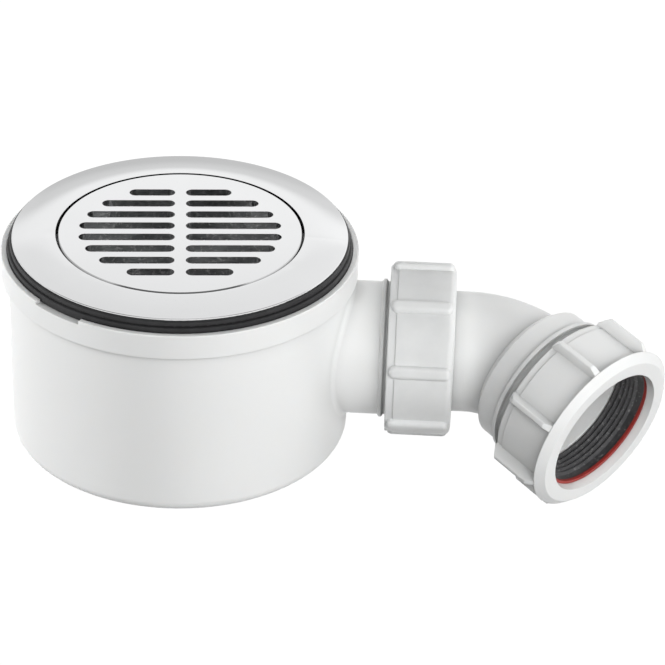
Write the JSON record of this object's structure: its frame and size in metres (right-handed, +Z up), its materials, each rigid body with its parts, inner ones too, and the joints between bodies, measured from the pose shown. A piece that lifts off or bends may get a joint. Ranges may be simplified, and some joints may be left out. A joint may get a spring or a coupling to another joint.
{
  "type": "shower trap",
  "caption": "Shower waste trap: cup body under a plated tray flange with a slotted lift-out grid, and a side outlet with a ribbed nut and a swivel bend for a waste pipe.",
  "frame": {"origin": "centre of the body's base, on the axis of the tray flange", "axes": "+Z up along the body and flange, +X along the outlet spigot away from the body"},
  "size_m": [0.2297, 0.1226, 0.083],
  "materials": {
    "white_plastic": "moulded white polypropylene with a soft gloss",
    "natural_plastic": "undyed polypropylene, cloudy and slightly see-through",
    "plated_plastic": "bright chromium plating on moulded plastic",
    "grey_plastic": "moulded mid grey plastic",
    "red_plastic": "thin red plastic sheet",
    "black_rubber": "moulded black rubber"
  },
  "bodies": {
    "trap": {"trap_body": "white_plastic", "body_rim": "white_plastic", "body_gasket": "black_rubber", "flange_gasket": "black_rubber", "flange_ring": "plated_plastic", "strainer_grid": "plated_plastic", "dip_tube": "grey_plastic", "dip_tube_o_ring": "black_rubber", "spigot_seal": "black_rubber"},
    "bend": {"elbow": "white_plastic", "outlet_seal": "black_rubber"},
    "spigot_nut": {"spigot_nut": "natural_plastic"},
    "washer": {"slip_washer": "red_plastic"},
    "outlet_nut": {"outlet_nut": "white_plastic"}
  },
  "joints": [
    {"name": "bend_swivel", "type": "hinge", "parent": "trap", "child": "bend", "pos_m": [0.08895, 0, 0.0337], "axis": [1, 0, 0], "continuous": true},
    {"name": "spigot_nut_turn", "type": "hinge", "parent": "trap", "child": "spigot_nut", "pos_m": [0.07255, 0, 0.0337], "axis": [1, 0, 0], "range_deg": [0, 120]},
    {"name": "washer_travel", "type": "slide", "parent": "bend", "child": "washer", "axis": [0.7071, -0.6762, -0.2067], "range_m": [0, 0.0084]},
    {"name": "outlet_nut_turn", "type": "hinge", "parent": "washer", "child": "outlet_nut", "pos_m": [0.1317, -0.01717, 0.02845], "axis": [0.7071, -0.6762, -0.2067], "range_deg": [0, 720]}
  ],
  "couplings": [
    {"joint": "outlet_nut_turn", "follows": "washer_travel", "rad_per_m": 1496}
  ]
}
